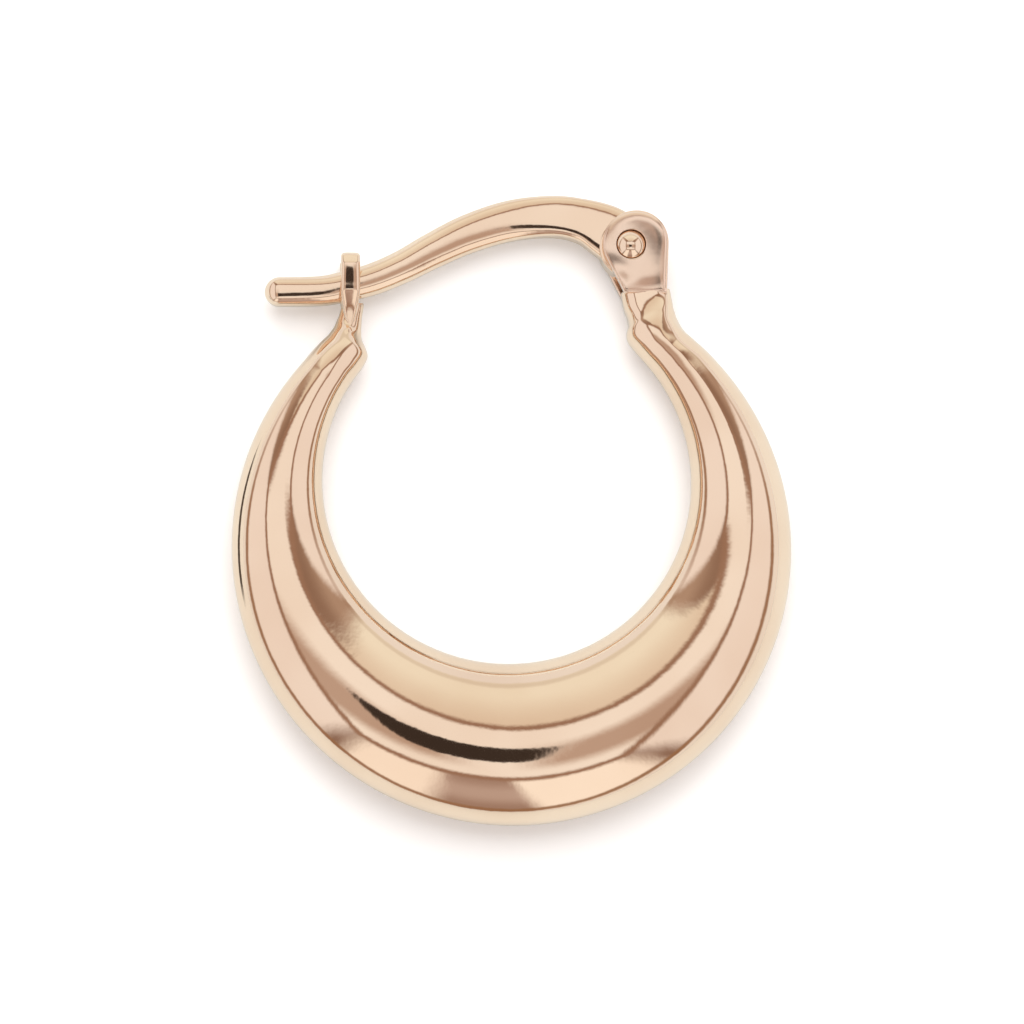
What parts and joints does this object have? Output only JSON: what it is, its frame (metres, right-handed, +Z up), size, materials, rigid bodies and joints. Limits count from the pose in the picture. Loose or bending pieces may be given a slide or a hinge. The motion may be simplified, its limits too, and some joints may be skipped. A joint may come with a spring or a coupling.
{
  "type": "creole hoop earring",
  "caption": "Small polished creole hoop earring: a hollow crescent hoop with a riveted hinge, a forked catch and a bent ear wire that swings up to open.",
  "frame": {"origin": "on the surface the earring lies on, under the middle of its outline", "axes": "+X from the catch towards the hinge, +Y from the thick bottom of the hoop towards the ear wire, +Z up out of the hoop's face"},
  "size_m": [0.0186, 0.0212, 0.0035],
  "materials": {
    "rose_gold": "polished rose gold, nearly a mirror, with fine hand-polishing marks"
  },
  "bodies": {
    "hoop": {"hoop": "rose_gold", "hinge_pin": "rose_gold"},
    "ear_wire": {"ear_wire": "rose_gold"}
  },
  "joints": [
    {"name": "ear_wire_hinge", "type": "hinge", "parent": "hoop", "child": "ear_wire", "pos_m": [0.00397, 0.00885, 0.00105], "axis": [0, -0.0422, -0.9991], "range_deg": [0, 80]}
  ]
}
